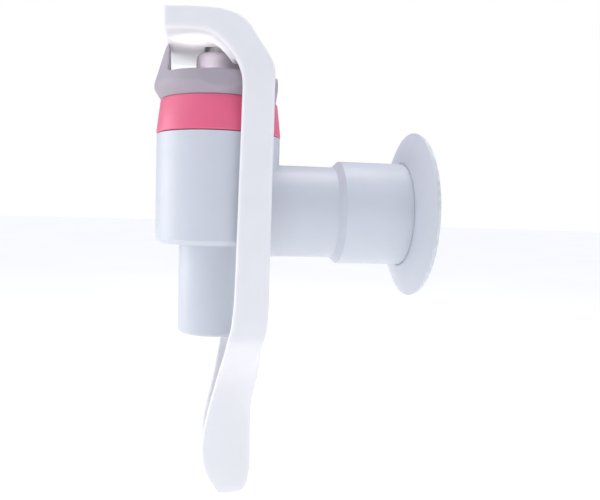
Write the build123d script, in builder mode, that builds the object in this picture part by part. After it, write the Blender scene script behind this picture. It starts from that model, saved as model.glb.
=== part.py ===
"""Push-lever water tap: barrel with a horizontal pipe, lift stem, hooded lever and domed wall plate.

The origin is where the pipe's centre line meets the wall. +X points into the wall, +Z is up, and the
tap's barrel stands on the vertical line X = -reach.
"""
from build123d import *

import os

os.makedirs("parts", exist_ok=True)

# ---- driving dimensions (millimetres) ----
reach = 53.6                 # wall to barrel centre line

barrel_r = 16.0
barrel_wall = 2.6
barrel_top = 18.8            # above the pipe's centre line
barrel_bottom = -9.0
barrel_floor = 3.6
barrel_chamfer = 1.2

pipe_r = 12.2
pipe_bore_r = 8.0
port_r = 5.2                 # water way from the pipe into the barrel

nozzle_r = 9.9
nozzle_bottom = -32.3
nozzle_neck_r = 8.4
nozzle_wall = 2.0            # at the mouth
mouth_depth = 6.0            # wider stretch below the ribs
mouth_step = 0.5
mouth_chamfer = 0.6
rib_thickness = 0.9
seat_r = 5.0                 # water way through the seat
seat_height = 2.0            # seat lip above the chamber floor
seat_lip = 1.2

ring_height = 8.6
ring_flare = 0.2             # ring's lower edge outside the barrel
ring_taper = 1.0             # from the ring's lower edge to its upper one
ring_gap = 0.2               # seam under the colour ring

rim_flare = 0.75             # bonnet's rim outside the barrel
rim_rise = 3.9               # from the ring's top to the widest line
bonnet_floor_rise = 5.8      # from the ring's top to the bonnet's upper floor
bonnet_floor_thickness = 2.8
skirt_wall = 2.8
hub_r = 6.2
hub_rise = 6.5
wall_lean = 0.295            # how much the front wall leans back for each millimetre of rise
wall_thickness = 1.0         # at its top edge
wall_play = 0.05             # from there up to the hood

stem_r = 2.75
stem_head_r = 2.5
pin_r = 1.25
pin_rise = 2.6               # pin's centre above the lever's underside

spring_wire = 1.1
spring_r = 5.4               # to the middle of the wire
spring_length = 13.5         # fitted, tap shut
spring_turns = 6
washer_thickness = 0.6

plug_r = 7.4
plug_thickness = 3.4
foot_r = 2.3                 # button that holds the plug on the stem
foot_neck_r = 1.6
foot_drop = 0.6              # button's face above the plug's
foot_thickness = 1.0
guide_thickness = 3.0
guide_height = 9.6           # guide's underside above the pipe's centre line
gasket_thickness = 1.0
seal_wire = 1.2              # stem O-ring's section

hood_gap = 1.25              # between the bonnet's hub and the hood
hood_thickness = 5.6
hood_crown = 1.6             # extra height along the middle of the hood
hood_setback = 2.4           # of the hood's front edge behind the barrel's
arm_width = 2.6              # across the tap
arm_gap = 0.6                # between each arm and the barrel
arm_front = 4.8              # arms' front edge behind the barrel's centre line
arm_depth = 7.7              # along the pipe
arm_clear = 2.3              # from the nozzle's mouth up to where the paddle starts
arch_depth = 8.5             # of the window's rounded lower end
paddle_length = 46.4
paddle_wall = 2.6

sleeve_r = 13.8
sleeve_length = 22.3
sleeve_ramp = 1.6
thread_r = 9.32              # tapping size of G1/2
thread_length = 10.0
washer_r = 9.8               # recess at the thread's bottom
tail_r = 10.2                # pipe's end inside the sleeve
web_thickness = 1.6          # between the sleeve's two sockets

plate_r = 22.3
plate_depth = 4.0
plate_thickness = 1.5
panel_seal_thickness = 0.8

slip = 0.05                  # radial clearance of a sliding or turning fit

# ---- places worked out from them ----
axis_x = -reach
bore_r = barrel_r - barrel_wall
floor_top = barrel_bottom + barrel_floor
ledge = guide_height - gasket_thickness
chamber_r = bore_r - 1.2
ring_base = barrel_top + ring_gap
ring_bottom_r = barrel_r + ring_flare
ring_top_r = ring_bottom_r - ring_taper
rim_r = barrel_r + rim_flare
ring_top = ring_base + ring_height
rim_z = ring_top + rim_rise
bonnet_floor = ring_top + bonnet_floor_rise
bonnet_ceiling = bonnet_floor - bonnet_floor_thickness
guide_top = guide_height + guide_thickness
hub_top = bonnet_floor + hub_rise
seat_z = floor_top + seat_height
hood_underside = hub_top + hood_gap
hood_top = hood_underside + hood_thickness
hood_front = barrel_r - hood_setback
pin_z = hood_underside + pin_rise
wall_top_z = hood_underside - wall_play
spring_top = bonnet_ceiling - washer_thickness
spring_bottom = spring_top - spring_length
arm_inner = barrel_r + arm_gap
lever_half_width = arm_inner + arm_width
arm_back = arm_front + arm_depth
arm_bottom = nozzle_bottom + arm_clear
window_top = bonnet_floor + 2.2
sleeve_front = -sleeve_length - panel_seal_thickness
sleeve_back = -panel_seal_thickness
web_back = sleeve_back - thread_length - gasket_thickness
web_front = web_back - web_thickness
tail_end = web_front - gasket_thickness

side_plane = Plane((axis_x, 0, 0), x_dir=(1, 0, 0), z_dir=(0, -1, 0))


def level(z):
    """Horizontal plane at height z, centred on the barrel."""
    return Plane((axis_x, 0, z))


def across(x):
    """Plane square to the pipe, x millimetres from the wall (negative in front of it)."""
    return Plane((x, 0, 0), x_dir=(0, 1, 0), z_dir=(1, 0, 0))


def round_edges(piece, z, radius):
    """Circular edges at height z with the given radius."""
    circles = piece.edges().filter_by(GeomType.CIRCLE)
    return circles.filter_by(lambda e: abs(e.center().Z - z) < 0.01 and abs(e.radius - radius) < 0.01)


def finish(part, name):
    """Label a finished piece and write its file."""
    part.label = name
    export_step(part, f"parts/{name}.step")


# ---- valve body: barrel and pipe in one moulding ----
with BuildPart() as valve_body:
    with BuildSketch(level(barrel_bottom)):
        Circle(barrel_r)
    extrude(amount=barrel_top - barrel_bottom)
    chamfer(valve_body.edges().group_by(Axis.Z)[0], barrel_chamfer)
    pipe_start = axis_x + nozzle_r + 0.8
    with BuildSketch(across(pipe_start)):
        Circle(pipe_r)
    extrude(amount=sleeve_front - pipe_start)
    with BuildSketch(across(sleeve_front)):
        Circle(tail_r)
    extrude(amount=tail_end - sleeve_front)
    with BuildSketch(level(floor_top)):
        Circle(chamber_r)
    extrude(amount=ledge - floor_top, mode=Mode.SUBTRACT)
    with BuildSketch(level(ledge)):
        Circle(bore_r)
    extrude(amount=barrel_top - ledge, mode=Mode.SUBTRACT)
    port_end = axis_x + barrel_r + 1.0
    with BuildSketch(across(axis_x)):
        Circle(port_r)
    extrude(amount=port_end - axis_x, mode=Mode.SUBTRACT)
    with BuildSketch(across(port_end)):
        Circle(pipe_bore_r)
    extrude(amount=tail_end - port_end, mode=Mode.SUBTRACT)
    with BuildSketch(level(barrel_bottom)):
        Circle(nozzle_neck_r + slip)
    extrude(amount=barrel_floor, mode=Mode.SUBTRACT)
    with BuildSketch(level(barrel_bottom)):
        Circle(nozzle_neck_r + seal_wire)
        Circle(nozzle_neck_r, mode=Mode.SUBTRACT)
    extrude(amount=seal_wire, mode=Mode.SUBTRACT)
finish(valve_body.part, "valve_body")

# ---- outlet nozzle with the valve seat on its neck ----
with BuildPart() as outlet_nozzle:
    with BuildSketch(side_plane):
        with BuildLine():
            throat = seat_z - 9.0
            mouth_r = nozzle_r - nozzle_wall
            channel_r = mouth_r - mouth_step
            mouth_top = nozzle_bottom + mouth_depth
            taper_end = throat - (channel_r - seat_r)
            Polyline(
                (seat_r, seat_z),
                (seat_r + seat_lip, seat_z),
                (nozzle_neck_r, floor_top),
                (nozzle_neck_r, barrel_bottom),
                (nozzle_r, barrel_bottom),
                (nozzle_r, nozzle_bottom + mouth_chamfer),
                (nozzle_r - mouth_chamfer, nozzle_bottom),
                (mouth_r, nozzle_bottom),
                (mouth_r, mouth_top),
                (channel_r, mouth_top),
                (channel_r, taper_end),
                (seat_r, throat),
                close=True,
            )
        make_face()
    revolve(axis=Axis((axis_x, 0, 0), (0, 0, 1)))
    # two crossed ribs straighten the stream
    with BuildSketch(level(mouth_top + 1.0)):
        Rectangle(2 * channel_r + 1.0, rib_thickness)
        Rectangle(rib_thickness, 2 * channel_r + 1.0)
    extrude(amount=taper_end - mouth_top - 2.0)
finish(outlet_nozzle.part, "outlet_nozzle")

with BuildPart() as nozzle_seal:
    with BuildSketch(side_plane):
        with Locations((nozzle_neck_r + seal_wire / 2, barrel_bottom + seal_wire / 2)):
            Circle(seal_wire / 2)
    revolve(axis=Axis((axis_x, 0, 0), (0, 0, 1)))
finish(nozzle_seal.part, "nozzle_seal")

# ---- colour ring ----
with BuildPart() as colour_ring:
    with BuildSketch(side_plane):
        with BuildLine():
            Polyline(
                (bore_r + slip, ring_base),
                (ring_bottom_r, ring_base),
                (ring_top_r, ring_top),
                (bore_r + slip, ring_top),
                close=True,
            )
        make_face()
    revolve(axis=Axis((axis_x, 0, 0), (0, 0, 1)))
    outer_edges = colour_ring.edges().filter_by(GeomType.CIRCLE).sort_by(SortBy.RADIUS)[-2:]
    chamfer(outer_edges, 0.25)
finish(colour_ring.part, "colour_ring")

# ---- bonnet: skirt in the barrel, flared rim, hub for the stem and a front wall under the hood ----
with BuildPart() as bonnet:
    wall_top_r = rim_r - wall_lean * (wall_top_z - rim_z)
    with BuildSketch(side_plane):
        with BuildLine():
            Polyline(
                (0, guide_top),
                (bore_r - slip, guide_top),
                (bore_r - slip, ring_top),
                (ring_top_r - 0.2, ring_top),
                (rim_r, rim_z - 1.2),
                (rim_r, rim_z),
                (wall_top_r, wall_top_z),
                (0, wall_top_z),
                close=True,
            )
        make_face()
    revolve(axis=Axis((axis_x, 0, 0), (0, 0, 1)))
    wall_back = wall_top_r - wall_thickness
    with BuildSketch(level(bonnet_floor)):
        with Locations((2 * rim_r - wall_back, 0)):
            Rectangle(4 * rim_r, 4 * rim_r)
        Circle(hub_r, mode=Mode.SUBTRACT)
    extrude(amount=2 * rim_r, mode=Mode.SUBTRACT)
    with BuildSketch(level(hub_top)):
        Circle(hub_r + 1)
    extrude(amount=rim_r, mode=Mode.SUBTRACT)
    # flats where the arms pass and where the hood's back drops
    for side in (-1, 1):
        with BuildSketch(level(ring_top)):
            with Locations((0, side * (barrel_r + rim_r))):
                Rectangle(4 * rim_r, 2 * rim_r)
        extrude(amount=3 * rim_r, mode=Mode.SUBTRACT)
    with BuildSketch(level(ring_top)):
        with Locations((ring_top_r - 0.9 + rim_r, 0)):
            Rectangle(2 * rim_r, 4 * rim_r)
    extrude(amount=3 * rim_r, mode=Mode.SUBTRACT)
    # spring space and stem bore
    with BuildSketch(level(guide_top)):
        Circle(bore_r - slip - skirt_wall)
    extrude(amount=bonnet_ceiling - guide_top, mode=Mode.SUBTRACT)
    with BuildSketch(level(bonnet_ceiling)):
        Circle(stem_r + slip)
    extrude(amount=hub_top - bonnet_ceiling, mode=Mode.SUBTRACT)
    fillet(round_edges(bonnet, hub_top, hub_r), 1.4)
finish(bonnet.part, "bonnet")

# ---- stem guide and its gasket ----
with BuildPart() as stem_guide:
    with BuildSketch(level(guide_height)):
        Circle(bore_r - slip)
    extrude(amount=guide_thickness)
    with BuildSketch(level(guide_height)):
        Circle(2.2 * stem_r)
    extrude(amount=-2.4)
    with BuildSketch(level(guide_height - 2.4)):
        Circle(stem_r + slip)
    extrude(amount=guide_thickness + 2.4, mode=Mode.SUBTRACT)
finish(stem_guide.part, "stem_guide")

with BuildPart() as guide_gasket:
    with BuildSketch(level(ledge)):
        Circle(bore_r - slip)
        Circle(chamber_r, mode=Mode.SUBTRACT)
    extrude(amount=gasket_thickness)
finish(guide_gasket.part, "guide_gasket")

# ---- valve stem: foot in the plug, spring collar, pin eye ----
collar_top = spring_bottom
foot_z = seat_z + plug_thickness
groove_z = guide_height + guide_thickness / 2 - 1.0
groove_r = stem_r - seal_wire + slip / 2
with BuildPart() as valve_stem:
    with BuildSketch(level(seat_z + foot_drop)):
        Circle(foot_neck_r)
    extrude(amount=plug_thickness)
    with BuildSketch(level(seat_z + foot_drop)):
        Circle(foot_r)
    extrude(amount=foot_thickness)
    with BuildSketch(level(foot_z)):
        Circle(plug_r - 1.4)
    extrude(amount=1.4)
    with BuildSketch(level(foot_z)):
        Circle(stem_r)
    extrude(amount=pin_z - foot_z)
    with BuildSketch(level(collar_top)):
        Circle(spring_r + spring_wire)
    extrude(amount=-1.4)
    with BuildSketch(level(groove_z - seal_wire / 2)):
        Circle(stem_r + 1)
        Circle(groove_r, mode=Mode.SUBTRACT)
    extrude(amount=seal_wire, mode=Mode.SUBTRACT)
    # flattened head, rounded about the pin
    with BuildSketch(level(hub_top + 1.6)):
        Rectangle(4 * stem_r, 4 * stem_r)
        Rectangle(2 * stem_head_r, 4 * stem_r, mode=Mode.SUBTRACT)
    extrude(amount=pin_z - hub_top, mode=Mode.SUBTRACT)
    with BuildSketch(side_plane.offset(-stem_r * 0.8)):
        with Locations((0, pin_z)):
            Circle(stem_head_r)
    extrude(amount=2 * stem_r * 0.8)
    with BuildSketch(side_plane.offset(-2 * stem_r)):
        with Locations((0, pin_z)):
            Circle(pin_r)
    extrude(amount=4 * stem_r, mode=Mode.SUBTRACT)
finish(valve_stem.part, "valve_stem")

with BuildPart() as stem_seal:
    with BuildSketch(side_plane):
        with Locations((groove_r + seal_wire / 2, groove_z)):
            Circle(seal_wire / 2)
    revolve(axis=Axis((axis_x, 0, 0), (0, 0, 1)))
finish(stem_seal.part, "stem_seal")

# ---- silicone plug on the stem's foot ----
with BuildPart() as seat_plug:
    with BuildSketch(level(seat_z)):
        Circle(plug_r)
    extrude(amount=plug_thickness)
    fillet(seat_plug.edges().group_by(Axis.Z)[0], 0.6)
    with BuildSketch(level(seat_z)):
        Circle(foot_r + slip)
    extrude(amount=foot_drop + foot_thickness, mode=Mode.SUBTRACT)
    with BuildSketch(level(seat_z)):
        Circle(foot_neck_r)
    extrude(amount=plug_thickness, mode=Mode.SUBTRACT)
finish(seat_plug.part, "seat_plug")

# ---- return spring and its washer ----
with BuildPart() as return_spring:
    wire_r = spring_wire / 2
    pitch = (spring_length - spring_wire) / spring_turns
    with BuildLine(level(spring_bottom + wire_r)) as coil:
        Helix(pitch=pitch, height=spring_length - spring_wire, radius=spring_r)
    with BuildSketch(Plane(coil.line @ 0, z_dir=coil.line % 0)):
        Circle(wire_r * 0.96)
    sweep(path=coil.line, is_frenet=True)
finish(return_spring.part, "return_spring")

with BuildPart() as spring_washer:
    with BuildSketch(level(spring_top)):
        Circle(spring_r + spring_wire + 0.6)
        Circle(stem_r + 0.4, mode=Mode.SUBTRACT)
    extrude(amount=washer_thickness)
finish(spring_washer.part, "spring_washer")

# ---- lever: hood, two arms and the cup paddle ----
# side view, as (distance behind the barrel's centre line, height)
hood_corner = (-hood_front, hood_top - 0.45)
hood_bend = (6.6, hood_top - 3.75)
shoulder = (arm_back - 1.2, hood_top - 10.55)
back_top = (arm_back, hood_top - 17.75)
back_low = (arm_back - 0.2, arm_bottom + 6.0)
back_end = (arm_back - 0.6, arm_bottom)
front_end = (arm_front - 1.8, arm_bottom)
front_low = (arm_front - 0.8, arm_bottom + 12.0)
front_top = (arm_front, hood_underside - 12.15)
ceiling_end = (-6.0, hood_underside)
# raised middle of the hood: distance behind the barrel's centre line, height, share of the crown
crown_sections = [
    (-hood_front, hood_top - 0.4, 1.0),
    (-4.0, hood_top, 1.0),
    (1.9, hood_top - 0.55, 0.8),
    (6.6, hood_top - 3.75, 0.2),
]
# paddle, downwards: share of its length, front lip from the arms' front, back from the arms' back,
# share of the lever's half width, and how far each side runs straight
paddle_sections = [
    (0.000, -1.8, -0.60, 1.000, 8.6),
    (0.084, -2.7, -0.35, 0.920, 8.2),
    (0.168, -3.4, -0.30, 0.750, 7.0),
    (0.253, -4.2, -0.55, 0.590, 5.8),
    (0.337, -5.0, -1.10, 0.490, 4.9),
    (0.421, -5.9, -2.00, 0.450, 4.4),
    (0.505, -6.8, -2.50, 0.430, 4.2),
    (0.653, -7.9, -2.50, 0.405, 4.2),
    (0.758, -7.7, -2.40, 0.375, 4.2),
    (0.842, -6.7, -2.40, 0.325, 4.0),
    (0.937, -4.7, -2.90, 0.225, 3.0),
    (0.985, -3.6, -3.80, 0.150, 2.2),
    (1.000, -3.2, -4.60, 0.100, 1.8),
]
relief_half_width = hub_r + 4.0
pocket_length = stem_r + 1.1
pocket_half_width = stem_r + 0.35
pin_inner_end = 9.0


def paddle_outline(lip, back, half_width, straight):
    """Flat-sided outline with a round back, straight across at the front lip."""
    Line((lip, half_width), (lip, -half_width))
    Line((lip, -half_width), (straight, -half_width))
    EllipticalCenterArc((straight, 0), back - straight, half_width, start_angle=-90, arc_size=180)
    Line((straight, half_width), (lip, half_width))


with BuildPart() as lever:
    with BuildSketch(side_plane.offset(-lever_half_width)):
        with BuildLine():
            Line((-hood_front, hood_underside), hood_corner)
            crest = [hood_corner, (-4.0, hood_top), (1.9, hood_top - 0.55), hood_bend]
            Spline(*crest, tangents=[(1, 0.12), (0.55, -0.83)])
            Line(hood_bend, shoulder)
            turn_down = [shoulder, (arm_back - 0.2, hood_top - 12.75), back_top]
            Spline(*turn_down, tangents=[(0.57, -0.82), (0.02, -1)])
            Line(back_top, back_low)
            Spline(back_low, back_end, tangents=[(-0.01, -1), (-0.12, -1)])
            Line(back_end, front_end)
            Spline(front_end, front_low, tangents=[(0.2, 1), (0.02, 1)])
            Line(front_low, front_top)
            curl = [front_top, (arm_front - 3.5, hood_underside - 3.65), ceiling_end]
            Spline(*curl, tangents=[(0, 1), (-1, 0)])
            Line(ceiling_end, (-hood_front, hood_underside))
        make_face()
    extrude(amount=2 * lever_half_width)
    # paddle: a shell with a round back, open at the front
    for share, lip, back, width, straight in paddle_sections:
        with BuildSketch(level(arm_bottom - share * paddle_length)):
            with BuildLine():
                lip_x = arm_front + lip
                paddle_outline(lip_x, arm_back + back, width * lever_half_width, lip_x + straight)
            make_face()
    loft()
    for share, lip, back, width, straight in paddle_sections[:-3]:
        with BuildSketch(level(arm_bottom - share * paddle_length)):
            with BuildLine():
                inner_back = arm_back + back - paddle_wall
                inner_half = width * lever_half_width - paddle_wall
                inner_straight = min(arm_front + lip + straight, inner_back - 0.3)
                paddle_outline(-2 * hood_front, inner_back, inner_half, inner_straight)
            make_face()
    loft(mode=Mode.SUBTRACT)
    # window for the barrel, pipe and spout, with an arched lower end
    with BuildSketch(across(axis_x - 2 * hood_front)):
        with Locations((0, (window_top + arm_bottom) / 2)):
            Rectangle(2 * arm_inner, window_top - arm_bottom)
        with Locations((0, arm_bottom)):
            Ellipse(arm_inner - 0.5, arch_depth)
    extrude(amount=6 * hood_front, mode=Mode.SUBTRACT)
    # raised middle of the hood's outer face
    for x, height, share in crown_sections:
        with BuildSketch(across(axis_x + x)):
            with BuildLine():
                base = height - 0.8
                top = height + hood_crown * share
                ThreePointArc((-arm_inner, base), (0, top), (arm_inner, base))
                Line((arm_inner, base), (-arm_inner, base))
            make_face()
    loft()
    # room under the hood for the bonnet's hub
    with BuildSketch(side_plane.offset(-relief_half_width)):
        with BuildLine():
            Polyline(
                (-hub_r - 1.0, hood_underside),
                (hub_r - 0.6, hood_underside),
                (hub_r + 2.2, hood_underside - 2.75),
                (hub_r + 3.4, window_top - 1.0),
                (-hub_r - 1.0, window_top - 1.0),
                close=True,
            )
        make_face()
    extrude(amount=2 * relief_half_width, mode=Mode.SUBTRACT)
    # pocket for the stem's head, and the pin's bore from one side
    with BuildSketch(level(hood_underside - 1)):
        Rectangle(2 * pocket_length, 2 * pocket_half_width)
    extrude(amount=pin_z + stem_head_r + 0.35 - hood_underside + 1, mode=Mode.SUBTRACT)
    with BuildSketch(side_plane.offset(-lever_half_width - 1)):
        with Locations((0, pin_z)):
            Circle(pin_r + slip)
    extrude(amount=lever_half_width + 1 + pin_inner_end + slip, mode=Mode.SUBTRACT)
finish(lever.part, "lever")

with BuildPart() as lever_pin:
    with BuildSketch(side_plane.offset(-lever_half_width + 0.8)):
        with Locations((0, pin_z)):
            Circle(pin_r)
    extrude(amount=lever_half_width - 0.8 + pin_inner_end)
    chamfer(lever_pin.edges().group_by(Axis.Y)[-1], 0.2)
finish(lever_pin.part, "lever_pin")

# ---- inlet sleeve: closes round the pipe's end and carries the thread ----
with BuildPart() as inlet_sleeve:
    with BuildSketch(across(sleeve_front)):
        Circle(sleeve_r)
    extrude(amount=sleeve_back - sleeve_front)
    front_edge = inlet_sleeve.edges().group_by(Axis.X)[0]
    chamfer(front_edge, length=sleeve_r - pipe_r, length2=sleeve_ramp)
    with BuildSketch(across(sleeve_front)):
        Circle(tail_r + slip)
    extrude(amount=web_front - sleeve_front, mode=Mode.SUBTRACT)
    with BuildSketch(across(web_front)):
        Circle(pipe_bore_r - 1.0)
    extrude(amount=web_thickness, mode=Mode.SUBTRACT)
    with BuildSketch(across(web_back)):
        Circle(thread_r)
    extrude(amount=sleeve_back - web_back, mode=Mode.SUBTRACT)
    with BuildSketch(across(web_back)):
        Circle(washer_r)
    extrude(amount=gasket_thickness, mode=Mode.SUBTRACT)
finish(inlet_sleeve.part, "inlet_sleeve")

for name, place, outer, inner in (
    ("sleeve_gasket", tail_end, tail_r - slip, pipe_bore_r - 1.0),
    ("inlet_washer", web_back, washer_r - slip, pipe_bore_r - 2.0),
):
    with BuildPart() as washer:
        with BuildSketch(across(place)):
            Circle(outer)
            Circle(inner, mode=Mode.SUBTRACT)
        extrude(amount=gasket_thickness)
    finish(washer.part, name)

# ---- domed plate and its seal against the wall ----
plate_plane = Plane((0, 0, 0), x_dir=(1, 0, 0), z_dir=(0, -1, 0))
rim_back = -panel_seal_thickness
with BuildPart() as escutcheon:
    with BuildSketch(plate_plane):
        with BuildLine():
            ThreePointArc(
                (-plate_depth, sleeve_r + slip),
                (-plate_depth * 0.66, (sleeve_r + plate_r) / 2 + 0.4),
                (rim_back - 0.4, plate_r),
            )
            Polyline((rim_back - 0.4, plate_r), (rim_back, plate_r - 0.3), (rim_back, plate_r - 1.6))
            ThreePointArc(
                (rim_back, plate_r - 1.6),
                (-plate_depth * 0.66 + plate_thickness, (sleeve_r + plate_r) / 2 - 0.4),
                (-plate_depth + plate_thickness, sleeve_r + slip),
            )
            Line((-plate_depth + plate_thickness, sleeve_r + slip), (-plate_depth, sleeve_r + slip))
        make_face()
    revolve(axis=Axis.X)
finish(escutcheon.part, "escutcheon")

with BuildPart() as panel_seal:
    with BuildSketch(across(-panel_seal_thickness)):
        Circle(plate_r - 0.5)
        Circle(thread_r + 1.5, mode=Mode.SUBTRACT)
    extrude(amount=panel_seal_thickness)
finish(panel_seal.part, "panel_seal")
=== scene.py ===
"""Looks of the push-lever water tap: moulded plastics, rubber, wire, stage, lights and camera."""
import math

import bmesh
import bpy
from bpy.props import (
    FloatProperty,
    FloatVectorProperty,
    IntProperty,
    PointerProperty,
)
from mathutils import Matrix, Vector


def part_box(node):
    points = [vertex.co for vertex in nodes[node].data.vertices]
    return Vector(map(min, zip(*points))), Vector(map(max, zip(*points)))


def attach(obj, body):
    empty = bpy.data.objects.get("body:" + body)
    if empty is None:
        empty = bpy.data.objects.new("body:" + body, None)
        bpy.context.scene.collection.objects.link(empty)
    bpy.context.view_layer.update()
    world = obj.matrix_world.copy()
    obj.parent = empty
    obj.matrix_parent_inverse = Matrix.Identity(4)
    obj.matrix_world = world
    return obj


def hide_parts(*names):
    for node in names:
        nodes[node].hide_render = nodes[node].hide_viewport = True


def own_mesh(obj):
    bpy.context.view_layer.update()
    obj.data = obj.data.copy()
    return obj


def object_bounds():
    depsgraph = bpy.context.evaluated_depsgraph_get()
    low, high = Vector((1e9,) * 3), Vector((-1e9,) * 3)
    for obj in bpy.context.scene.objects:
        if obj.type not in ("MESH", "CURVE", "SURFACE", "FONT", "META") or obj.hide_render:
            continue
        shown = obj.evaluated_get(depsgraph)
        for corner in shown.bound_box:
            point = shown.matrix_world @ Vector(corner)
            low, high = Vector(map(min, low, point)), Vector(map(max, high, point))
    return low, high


bl_info = {
    "name": "Push-lever water tap",
    "version": (1, 0, 0),
    "blender": (4, 5, 0),
    "location": "3D View > Sidebar > Tap",
    "description": "Rounded skins, finishes and stage for the frame of a push-lever water tap",
    "category": "Object",
}

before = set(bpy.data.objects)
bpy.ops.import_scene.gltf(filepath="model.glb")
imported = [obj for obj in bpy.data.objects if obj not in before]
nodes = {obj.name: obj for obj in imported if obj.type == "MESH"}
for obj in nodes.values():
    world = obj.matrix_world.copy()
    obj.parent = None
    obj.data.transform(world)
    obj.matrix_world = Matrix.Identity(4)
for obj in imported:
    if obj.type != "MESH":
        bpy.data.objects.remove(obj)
cad_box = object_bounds()

RING_LOW, RING_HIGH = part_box("colour_ring")
PLATE_LOW, PLATE_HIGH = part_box("escutcheon")
SLEEVE_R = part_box("inlet_sleeve")[1].z
AXIS_X = (RING_LOW.x + RING_HIGH.x) / 2
HOOD_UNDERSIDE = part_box("bonnet")[1].z

# distances and places in metres
RING_TAPER = 0.001          # from the ring's lower edge to its upper one
RING_WALL = 0.0027
SLIP = 0.00005              # play between two pieces
PLATE_EDGE = 0.0003         # rounding of the plate's rim
PLATE_BOW = 0.0004          # how far the plate's faces bow from straight
WELD = 0.000002             # points closer than this are one
CARD_OFFSET = (-0.007, -0.0105, -0.0066)    # from the middle of the hood's underside
CARD_TARGET_OFFSET = (-0.003, -0.004, 0)
CARD_SIZE = 0.007
LIGHT_TARGET_Z = -0.012
CAMERA_PLACE = (-0.057973, -0.168067, -0.000628)

# other numbers
CAMERA_FORWARD = (0.157146, 0.985914, -0.057267)
CAMERA_ROLL = math.radians(1.585)
LEAST_FACES = 1000          # a skin with fewer faces than this has failed
FLOOR_SPOKES = 64
FLOOR_RINGS = (0.05, 0.15, 0.4, 1.0)        # radii as shares of the floor's radius
FLOOR_GLOW = 0.34
ROOM_LEFT_GAIN = 1.5        # how much brighter the room is on the left
WHITE = (1.0, 1.0, 1.0)


# ---- settings ----
class TapFinish(bpy.types.PropertyGroup):
    """Colours and surface detail of the tap's materials."""

    white: FloatVectorProperty(
        name="White plastic", description="Colour of the lever",
        subtype="COLOR", size=3, min=0, max=1, default=(0.87, 0.86, 0.88))
    # painted shade: the body colour is the white plastic made darker and bluer, so the shade on
    # the barrel, pipe, spout and plate is painted into their colour
    body: FloatVectorProperty(
        name="Body plastic with painted shade", description="Colour of the barrel, pipe, spout and plate",
        subtype="COLOR", size=3, min=0, max=1, default=(0.635, 0.66, 0.715))
    ring: FloatVectorProperty(
        name="Ring", description="Colour of the ring that marks hot water",
        subtype="COLOR", size=3, min=0, max=1, default=(0.83, 0.14, 0.26))
    bonnet: FloatVectorProperty(
        name="Bonnet", description="Colour of the grey bonnet under the hood",
        subtype="COLOR", size=3, min=0, max=1, default=(0.41, 0.36, 0.41))
    grain: FloatProperty(
        name="Moulding grain", description="Height of the fine texture left by the mould",
        default=0.00004, min=0, max=0.001, unit="LENGTH", precision=6)
    gloss: FloatProperty(
        name="Roughness", description="Roughness of the white plastic",
        subtype="FACTOR", default=0.36, min=0, max=1)


class SkinShape(bpy.types.PropertyGroup):
    """How the rounded skins are worked."""

    lever_cell: FloatProperty(
        name="Lever cell", description="Cell size of the lever's remeshed skin",
        default=0.00042, min=0.0002, max=0.002, unit="LENGTH", precision=5)
    lever_passes: IntProperty(
        name="Lever softening", description="Smoothing passes that round the lever's edges",
        default=16, min=0, max=60)
    bonnet_cell: FloatProperty(
        name="Bonnet cell", description="Cell size of the bonnet's remeshed skin",
        default=0.00030, min=0.0002, max=0.002, unit="LENGTH", precision=5)
    bonnet_passes: IntProperty(
        name="Bonnet softening", description="Smoothing passes that round the bonnet's edges",
        default=5, min=0, max=60)
    ring_round: FloatProperty(
        name="Ring edge", description="Rounding of the colour ring's outer edges",
        default=0.0004, min=0.0001, max=0.001, unit="LENGTH", precision=5)
    plate_thickness: FloatProperty(
        name="Plate thickness", description="Wall thickness of the domed plate",
        default=0.0015, min=0.0005, max=0.003, unit="LENGTH", precision=5)
    spokes: IntProperty(
        name="Spokes", description="Steps round the ring and the plate",
        default=144, min=24, max=360)


class StageLook(bpy.types.PropertyGroup):
    """Floor, lights and camera; left and right are the camera's."""

    floor_drop: FloatProperty(
        name="Floor drop", description="Height of the tap's lowest point above the floor",
        default=0.012, min=0, max=1, unit="LENGTH")
    floor_radius: FloatProperty(
        name="Floor radius", description="Radius of the round floor",
        default=6.0, min=0.3, max=50, unit="LENGTH")
    key_power: FloatProperty(
        name="Key light", description="Power of the large light at the front left",
        subtype="POWER", default=0.15, min=0, max=100)
    fill_power: FloatProperty(
        name="Fill light", description="Power of the soft light to the right of the camera",
        subtype="POWER", default=0.20, min=0, max=100)
    rim_power: FloatProperty(
        name="Rim light", description="Power of the light behind and to the right",
        subtype="POWER", default=0.06, min=0, max=100)
    room_power: FloatProperty(
        name="Room", description="Brightness of the white room",
        default=1.33, min=0, max=10)
    edge_power: FloatProperty(
        name="Edge light", description="Power of the light at the left that draws the left edges",
        subtype="POWER", default=0.24, min=0, max=100)
    top_power: FloatProperty(
        name="Top light", description="Power of the light above the pipe",
        subtype="POWER", default=0.55, min=0, max=100)
    card_power: FloatProperty(
        name="Card", description="Power of the small card that lights the hood's underside",
        subtype="POWER", default=0.0010, min=0, max=1, precision=5)
    lens: FloatProperty(
        name="Lens", description="Focal length in millimetres",
        default=37.669, min=10, max=200)


# ---- materials ----
def new_material(name):
    """New node material; returns the material, its tree and its shader."""
    material = bpy.data.materials.new(name)
    material.use_nodes = True
    tree = material.node_tree
    shader = tree.nodes["Principled BSDF"]
    return material, tree, shader


def position(tree):
    """Object coordinates in metres."""
    return tree.nodes.new("ShaderNodeTexCoord").outputs["Object"]


def noise(tree, vector, scale, detail=3.0, rough=0.5):
    """Noise texture over a vector; returns its factor."""
    node = tree.nodes.new("ShaderNodeTexNoise")
    node.inputs["Scale"].default_value = scale
    node.inputs["Detail"].default_value = detail
    node.inputs["Roughness"].default_value = rough
    tree.links.new(vector, node.inputs["Vector"])
    return node.outputs["Fac"]


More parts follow.
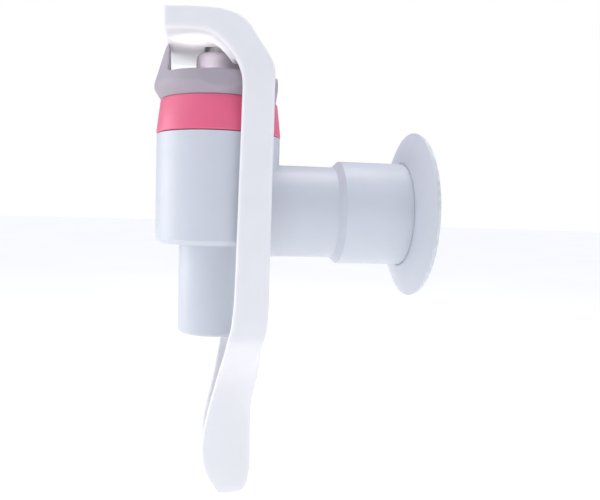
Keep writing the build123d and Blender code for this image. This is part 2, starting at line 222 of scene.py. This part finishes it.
def ramp(tree, value, low, high, colours):
    """Blends colours between two values of an input."""
    node = tree.nodes.new("ShaderNodeValToRGB")
    elements = node.color_ramp.elements
    elements[0].position, elements[1].position = low, high
    elements[0].color = (*colours[0], 1)
    elements[1].color = (*colours[1], 1)
    tree.links.new(value, node.inputs["Fac"])
    return node.outputs["Color"]


def remap(tree, value, low, high):
    """Maps a factor of 0 to 1 onto low to high."""
    node = tree.nodes.new("ShaderNodeMapRange")
    node.inputs["To Min"].default_value = low
    node.inputs["To Max"].default_value = high
    tree.links.new(value, node.inputs["Value"])
    return node.outputs["Result"]


def shade(colour, factor):
    """The colour made lighter or darker."""
    return tuple(min(1.0, c * factor) for c in colour)


def bump(tree, shader, height, distance, strength=1.0):
    """Feeds a height into the shader's normal."""
    node = tree.nodes.new("ShaderNodeBump")
    node.inputs["Distance"].default_value = distance
    node.inputs["Strength"].default_value = strength
    tree.links.new(height, node.inputs["Height"])
    tree.links.new(node.outputs["Normal"], shader.inputs["Normal"])


def moulded_plastic(name, colour, rough, grain, mottle=0.03):
    """Injection-moulded plastic: slight colour mottling, uneven gloss and a fine grain."""
    material, tree, shader = new_material(name)
    where = position(tree)
    cloud = noise(tree, where, 55.0, 4.0)
    fine = noise(tree, where, 2600.0, 2.0)
    shades = (shade(colour, 1 - mottle), shade(colour, 1 + mottle))
    tree.links.new(ramp(tree, cloud, 0.3, 0.7, shades), shader.inputs["Base Color"])
    gloss = remap(tree, noise(tree, where, 160.0, 3.0), rough - 0.06, rough + 0.06)
    tree.links.new(gloss, shader.inputs["Roughness"])
    shader.inputs["IOR"].default_value = 1.49
    bump(tree, shader, fine, grain)
    return material


def rubber(name, colour, rough):
    """Soft rubber with a dull, slightly dusty skin."""
    material, tree, shader = new_material(name)
    where = position(tree)
    dust = noise(tree, where, 700.0, 4.0)
    shades = (colour, shade(colour, 1.25))
    tree.links.new(ramp(tree, dust, 0.35, 0.75, shades), shader.inputs["Base Color"])
    tree.links.new(remap(tree, dust, rough - 0.08, rough + 0.08), shader.inputs["Roughness"])
    shader.inputs["IOR"].default_value = 1.45
    bump(tree, shader, noise(tree, where, 3000.0, 2.0), 0.00003)
    return material


def drawn_steel(name):
    """Stainless wire and rod with fine drawing lines."""
    material, tree, shader = new_material(name)
    where = position(tree)
    lines = noise(tree, where, 1800.0, 5.0, 0.65)
    shades = ((0.50, 0.50, 0.51), (0.66, 0.66, 0.67))
    tree.links.new(ramp(tree, lines, 0.3, 0.7, shades), shader.inputs["Base Color"])
    tree.links.new(remap(tree, lines, 0.22, 0.38), shader.inputs["Roughness"])
    shader.inputs["Metallic"].default_value = 1.0
    bump(tree, shader, lines, 0.00002)
    return material


def paint(node_name, material):
    """Gives a frame node its material."""
    mesh = nodes[node_name].data
    mesh.materials.clear()
    mesh.materials.append(material)


class TAP_OT_finishes(bpy.types.Operator):
    """Gives every frame node its moulded, rubber or steel finish"""

    bl_idname = "tap.finishes"
    bl_label = "Finishes"

    def execute(self, context):
        finish = context.scene.tap_finish
        white = moulded_plastic("white_plastic", finish.white, finish.gloss, finish.grain)
        # painted shade: the body plastic is the lever's white plastic darkened and blued
        body = moulded_plastic("body_plastic_painted_shade", finish.body, finish.gloss, finish.grain)
        ring = moulded_plastic("red_plastic", finish.ring, 0.34, finish.grain, 0.06)
        bonnet = moulded_plastic("grey_plastic", finish.bonnet, 0.48, 2 * finish.grain, 0.09)
        acetal = moulded_plastic("stem_plastic", (0.72, 0.72, 0.68), 0.45, finish.grain)
        silicone = rubber("silicone", (0.66, 0.69, 0.70), 0.5)
        nitrile = rubber("black_rubber", (0.018, 0.018, 0.019), 0.55)
        steel = drawn_steel("stainless")
        seals = ("guide_gasket", "sleeve_gasket", "inlet_washer", "panel_seal", "seat_plug")
        groups = (
            (white, ("lever",)),
            (body, ("valve_body", "outlet_nozzle", "inlet_sleeve", "escutcheon")),
            (ring, ("colour_ring",)),
            (bonnet, ("bonnet",)),
            (acetal, ("valve_stem", "stem_guide")),
            (silicone, seals),
            (nitrile, ("nozzle_seal", "stem_seal")),
            (steel, ("return_spring", "spring_washer", "lever_pin")),
        )
        for material, names in groups:
            for name in names:
                paint(name, material)
        return {"FINISHED"}


# ---- rounded skins ----
def take_over(thing, node_name, body):
    """The thing stands in for a frame node, with its finish, and moves with its body."""
    mesh = thing.data
    mesh.shade_smooth()
    finish = nodes[node_name].data.materials[0]
    mesh.materials.clear()
    mesh.materials.append(finish)
    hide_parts(node_name)
    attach(thing, body)


def soft_skin(context, node_name, body, cell, passes):
    """A frame node's solid, remeshed in small cells and smoothed so that its edges are round."""
    mesh = nodes[node_name].data.copy()
    mesh.name = f"{node_name}_skin"
    bm = bmesh.new()
    bm.from_mesh(mesh)
    bmesh.ops.remove_doubles(bm, verts=bm.verts, dist=WELD)
    bm.to_mesh(mesh)
    bm.free()
    thing = bpy.data.objects.new(f"{node_name}_skin", mesh)
    context.scene.collection.objects.link(thing)
    remesh = thing.modifiers.new("cells", "REMESH")
    remesh.mode = "VOXEL"
    remesh.voxel_size = cell
    remesh.use_smooth_shade = True
    soften = thing.modifiers.new("soften", "SMOOTH")
    soften.factor = 0.5
    soften.iterations = passes
    context.view_layer.update()
    skin = bpy.data.meshes.new_from_object(thing.evaluated_get(context.evaluated_depsgraph_get()))
    thing.modifiers.clear()
    thing.data = skin
    if len(skin.polygons) < LEAST_FACES:
        raise RuntimeError(f"the skin of {node_name} came out empty")
    take_over(thing, node_name, body)
    return thing


def turned(context, name, outline, spokes, along_x):
    """Closed ring made by turning an outline of (radius, distance along the axis) points."""
    mesh = bpy.data.meshes.new(name)
    bm = bmesh.new()
    loops = []
    for k in range(spokes):
        turn = 2 * math.pi * k / spokes
        loop = []
        for radius, along in outline:
            sideways, upwards = radius * math.cos(turn), radius * math.sin(turn)
            place = (along, sideways, upwards) if along_x else (AXIS_X + sideways, upwards, along)
            loop.append(bm.verts.new(place))
        loops.append(loop)
    count = len(outline)
    for k in range(spokes):
        here, there = loops[k], loops[(k + 1) % spokes]
        for i in range(count):
            j = (i + 1) % count
            bm.faces.new((here[i], here[j], there[j], there[i]))
    bmesh.ops.recalc_face_normals(bm, faces=bm.faces)
    bm.to_mesh(mesh)
    bm.free()
    thing = bpy.data.objects.new(name, mesh)
    context.scene.collection.objects.link(thing)
    return thing


def arc(centre, radius, start, end, steps=6):
    """Points on an arc, from one angle to another in degrees."""
    points = []
    for k in range(steps + 1):
        angle = math.radians(start + (end - start) * k / steps)
        points.append((centre[0] + radius * math.cos(angle), centre[1] + radius * math.sin(angle)))
    return points


def bowed(start, end, bow, steps=14):
    """Points from start to end along a shallow parabola that bows to the left of the chord."""
    chord = Vector(end) - Vector(start)
    left = Vector((-chord.y, chord.x)).normalized()
    points = []
    for k in range(steps + 1):
        share = k / steps
        place = Vector(start) + chord * share + left * bow * 4 * share * (1 - share)
        points.append((place.x, place.y))
    return points


class TAP_OT_lever(bpy.types.Operator):
    """Makes the lever's softly rounded skin from its plain solid"""

    bl_idname = "tap.lever"
    bl_label = "Lever"

    def execute(self, context):
        shape = context.scene.tap_skins
        thing = soft_skin(context, "lever", "lever", shape.lever_cell, shape.lever_passes)
        return {"FINISHED"}


class TAP_OT_bonnet(bpy.types.Operator):
    """Makes the bonnet's rounded skin from its plain solid"""

    bl_idname = "tap.bonnet"
    bl_label = "Bonnet"

    def execute(self, context):
        shape = context.scene.tap_skins
        cell, passes = shape.bonnet_cell, shape.bonnet_passes
        thing = soft_skin(context, "bonnet", "tap", cell, passes)
        return {"FINISHED"}


class TAP_OT_ring(bpy.types.Operator):
    """Turns the colour ring with rounded outer edges"""

    bl_idname = "tap.ring"
    bl_label = "Colour ring"

    def execute(self, context):
        shape = context.scene.tap_skins
        bottom_r = RING_HIGH.y
        top_r = bottom_r - RING_TAPER
        inner_r = bottom_r - RING_WALL
        edge = shape.ring_round
        outline = [
            (inner_r, RING_LOW.z),
            *arc((bottom_r - edge - SLIP, RING_LOW.z + edge), edge, -90, 6),
            *arc((top_r - edge, RING_HIGH.z - edge), edge, 6, 90),
            (inner_r, RING_HIGH.z),
        ]
        thing = turned(context, "colour_ring_skin", outline, shape.spokes, along_x=False)
        take_over(thing, "colour_ring", "tap")
        return {"FINISHED"}


class TAP_OT_plate(bpy.types.Operator):
    """Turns the domed wall plate"""

    bl_idname = "tap.plate"
    bl_label = "Wall plate"

    def execute(self, context):
        shape = context.scene.tap_skins
        rim_r = PLATE_HIGH.y
        hole_r = SLEEVE_R + SLIP
        thick = shape.plate_thickness
        edge = PLATE_EDGE
        outline = [
            *bowed((hole_r, PLATE_LOW.x), (rim_r - edge, PLATE_HIGH.x - 2 * edge), -PLATE_BOW),
            *arc((rim_r - edge, PLATE_HIGH.x - edge), edge, -60, 90, 5),
            (rim_r - thick, PLATE_HIGH.x),
            *bowed((rim_r - thick, PLATE_HIGH.x), (hole_r, PLATE_LOW.x + thick), PLATE_BOW)[1:],
        ]
        thing = turned(context, "escutcheon_skin", outline, shape.spokes, along_x=True)
        take_over(thing, "escutcheon", "tap")
        return {"FINISHED"}


class TAP_OT_spring(bpy.types.Operator):
    """Copies the return spring's mesh into a skin of its own that moves with the tap"""

    bl_idname = "tap.spring"
    bl_label = "Return spring"

    def execute(self, context):
        thing = bpy.data.objects.new("return_spring_skin", nodes["return_spring"].data.copy())
        context.scene.collection.objects.link(thing)
        take_over(thing, "return_spring", "tap")
        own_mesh(thing)
        return {"FINISHED"}


# ---- stage ----
def aim(thing, target):
    """Turns a light so that it faces a point."""
    direction = Vector(target) - thing.location
    thing.rotation_euler = direction.to_track_quat("-Z", "Y").to_euler()


def area_light(name, place, target, size, power, colour):
    """Square soft light that faces a point."""
    light = bpy.data.lights.new(name, "AREA")
    light.shape = "SQUARE"
    light.size = size
    light.energy = power
    light.color = colour
    thing = bpy.data.objects.new(name, light)
    bpy.context.scene.collection.objects.link(thing)
    thing.location = place
    aim(thing, target)
    return thing


def floor_disc(radius, z):
    """Round floor with rings that grow outwards."""
    mesh = bpy.data.meshes.new("floor")
    bm = bmesh.new()
    loops = []
    for share in FLOOR_RINGS:
        loop = []
        for k in range(FLOOR_SPOKES):
            turn = 2 * math.pi * k / FLOOR_SPOKES
            place = (AXIS_X + share * radius * math.cos(turn), share * radius * math.sin(turn), z)
            loop.append(bm.verts.new(place))
        loops.append(loop)
    bm.faces.new(loops[0])
    for inner, outer in zip(loops, loops[1:]):
        for k in range(FLOOR_SPOKES):
            following = (k + 1) % FLOOR_SPOKES
            bm.faces.new((inner[k], outer[k], outer[following], inner[following]))
    bm.to_mesh(mesh)
    bm.free()
    return mesh


def pale_floor_material():
    """Matt pale paint with a faint unevenness."""
    material, tree, shader = new_material("pale_floor")
    where = position(tree)
    cloud = noise(tree, where, 6.0, 4.0)
    shades = ((0.78, 0.78, 0.78), (0.82, 0.82, 0.82))
    tree.links.new(ramp(tree, cloud, 0.3, 0.7, shades), shader.inputs["Base Color"])
    shader.inputs["Roughness"].default_value = 0.9
    shader.inputs["Emission Color"].default_value = (1, 1, 1, 1)
    shader.inputs["Emission Strength"].default_value = FLOOR_GLOW
    return material


def soft_room(power):
    """White room: brightest on the left, dimmer and a little blue at the front and the back."""
    world = bpy.data.worlds.new("soft_room")
    world.use_nodes = True
    tree = world.node_tree
    direction = tree.nodes.new("ShaderNodeTexCoord")
    parts = tree.nodes.new("ShaderNodeSeparateXYZ")
    tree.links.new(direction.outputs["Generated"], parts.inputs["Vector"])
    depth = tree.nodes.new("ShaderNodeMath")
    depth.operation = "ABSOLUTE"
    tree.links.new(parts.outputs["Y"], depth.inputs[0])
    flank = tree.nodes.new("ShaderNodeMapRange")
    flank.interpolation_type = "SMOOTHSTEP"
    flank.inputs["From Min"].default_value = 0.8
    flank.inputs["From Max"].default_value = -0.2
    tree.links.new(depth.outputs["Value"], flank.inputs["Value"])
    tint = tree.nodes.new("ShaderNodeValToRGB")
    tint.color_ramp.elements[0].color = (0.245, 0.268, 0.325, 1)
    tint.color_ramp.elements[1].color = (0.90, 0.90, 0.90, 1)
    tree.links.new(flank.outputs["Result"], tint.inputs["Fac"])
    side = tree.nodes.new("ShaderNodeMapRange")
    side.inputs["From Min"].default_value = 0.3
    side.inputs["From Max"].default_value = -1.0
    side.inputs["To Min"].default_value = power
    side.inputs["To Max"].default_value = power * ROOM_LEFT_GAIN
    tree.links.new(parts.outputs["X"], side.inputs["Value"])
    sky = tree.nodes["Background"]
    tree.links.new(tint.outputs["Color"], sky.inputs["Color"])
    tree.links.new(side.outputs["Result"], sky.inputs["Strength"])
    # the camera sees an even white wall
    wall = tree.nodes.new("ShaderNodeBackground")
    wall.inputs["Color"].default_value = (*WHITE, 1)
    ray = tree.nodes.new("ShaderNodeLightPath")
    choice = tree.nodes.new("ShaderNodeMixShader")
    tree.links.new(ray.outputs["Is Camera Ray"], choice.inputs["Fac"])
    tree.links.new(sky.outputs["Background"], choice.inputs[1])
    tree.links.new(wall.outputs["Background"], choice.inputs[2])
    tree.links.new(choice.outputs["Shader"], tree.nodes["World Output"].inputs["Surface"])
    return world


class TAP_OT_stage(bpy.types.Operator):
    """Sets the floor, the soft lights and the camera"""

    bl_idname = "tap.stage"
    bl_label = "Stage"

    def execute(self, context):
        scene = context.scene
        look = scene.tap_stage
        floor_z = cad_box[0][2] - look.floor_drop
        floor = bpy.data.objects.new("floor", floor_disc(look.floor_radius, floor_z))
        scene.collection.objects.link(floor)
        floor.data.materials.append(pale_floor_material())
        middle = (AXIS_X, 0, LIGHT_TARGET_Z)
        for name, place, size, power, colour in (
            ("key_light", (-0.34, -0.22, 0.34), 0.30, look.key_power, (1.0, 0.99, 0.97)),
            ("fill_light", (0.24, -0.36, 0.06), 0.30, look.fill_power, (0.93, 0.95, 1.0)),
            ("rim_light", (0.24, 0.34, 0.26), 0.30, look.rim_power, WHITE),
            ("edge_light", (-0.38, 0.10, 0.02), 0.18, look.edge_power, WHITE),
            ("top_light", (-0.02, 0.06, 0.40), 0.25, look.top_power, (1.0, 0.99, 0.98)),
        ):
            area_light(name, place, middle, size, power, colour)
        hood = Vector((AXIS_X, 0, HOOD_UNDERSIDE))
        under = hood + Vector(CARD_OFFSET)
        target = hood + Vector(CARD_TARGET_OFFSET)
        card = area_light("under_hood_card", under, target, CARD_SIZE, look.card_power, WHITE)
        card.visible_camera = False
        scene.world = soft_room(look.room_power)
        scene.view_settings.view_transform = "Standard"
        self.place_camera(scene, look)
        return {"FINISHED"}

    def place_camera(self, scene, look):
        """Camera at eye level with the pipe, in front of the tap's left side."""
        camera = bpy.data.cameras.new("camera")
        camera.sensor_width = 36
        camera.lens = look.lens
        camera.clip_start = 0.005
        thing = bpy.data.objects.new("camera", camera)
        scene.collection.objects.link(thing)
        forward = Vector(CAMERA_FORWARD).normalized()
        level_right = forward.cross(Vector((0, 0, 1))).normalized()
        level_up = level_right.cross(forward)
        cosine, sine = math.cos(CAMERA_ROLL), math.sin(CAMERA_ROLL)
        right = level_right * cosine + level_up * sine
        up = level_up * cosine - level_right * sine
        turn = Matrix((right, up, -forward)).transposed().to_4x4()
        thing.matrix_world = Matrix.Translation(CAMERA_PLACE) @ turn
        scene.camera = thing


class TAP_PT_panel(bpy.types.Panel):
    """Lists the tap's steps and settings"""

    bl_idname = "TAP_PT_panel"
    bl_label = "Water tap"
    bl_space_type = "VIEW_3D"
    bl_region_type = "UI"
    bl_category = "Tap"

    def draw(self, context):
        column = self.layout.column()
        for operator in STEPS:
            column.operator(operator.bl_idname)
        for group in (context.scene.tap_finish, context.scene.tap_skins, context.scene.tap_stage):
            for name in group.__annotations__:
                column.prop(group, name)


STEPS = (
    TAP_OT_finishes,
    TAP_OT_lever,
    TAP_OT_bonnet,
    TAP_OT_ring,
    TAP_OT_plate,
    TAP_OT_spring,
    TAP_OT_stage,
)
CLASSES = (TapFinish, SkinShape, StageLook, *STEPS, TAP_PT_panel)


def register():
    """Registers the classes and their settings."""
    for item in CLASSES:
        bpy.utils.register_class(item)
    bpy.types.Scene.tap_finish = PointerProperty(type=TapFinish)
    bpy.types.Scene.tap_skins = PointerProperty(type=SkinShape)
    bpy.types.Scene.tap_stage = PointerProperty(type=StageLook)


def unregister():
    """Removes what register added."""
    del bpy.types.Scene.tap_stage
    del bpy.types.Scene.tap_skins
    del bpy.types.Scene.tap_finish
    for item in reversed(CLASSES):
        bpy.utils.unregister_class(item)


def main():
    """Builds the tap's looks in order."""
    register()
    bpy.ops.tap.finishes()
    bpy.ops.tap.lever()
    bpy.ops.tap.bonnet()
    bpy.ops.tap.ring()
    bpy.ops.tap.plate()
    bpy.ops.tap.spring()
    bpy.ops.tap.stage()


if __name__ == "__main__":
    main()
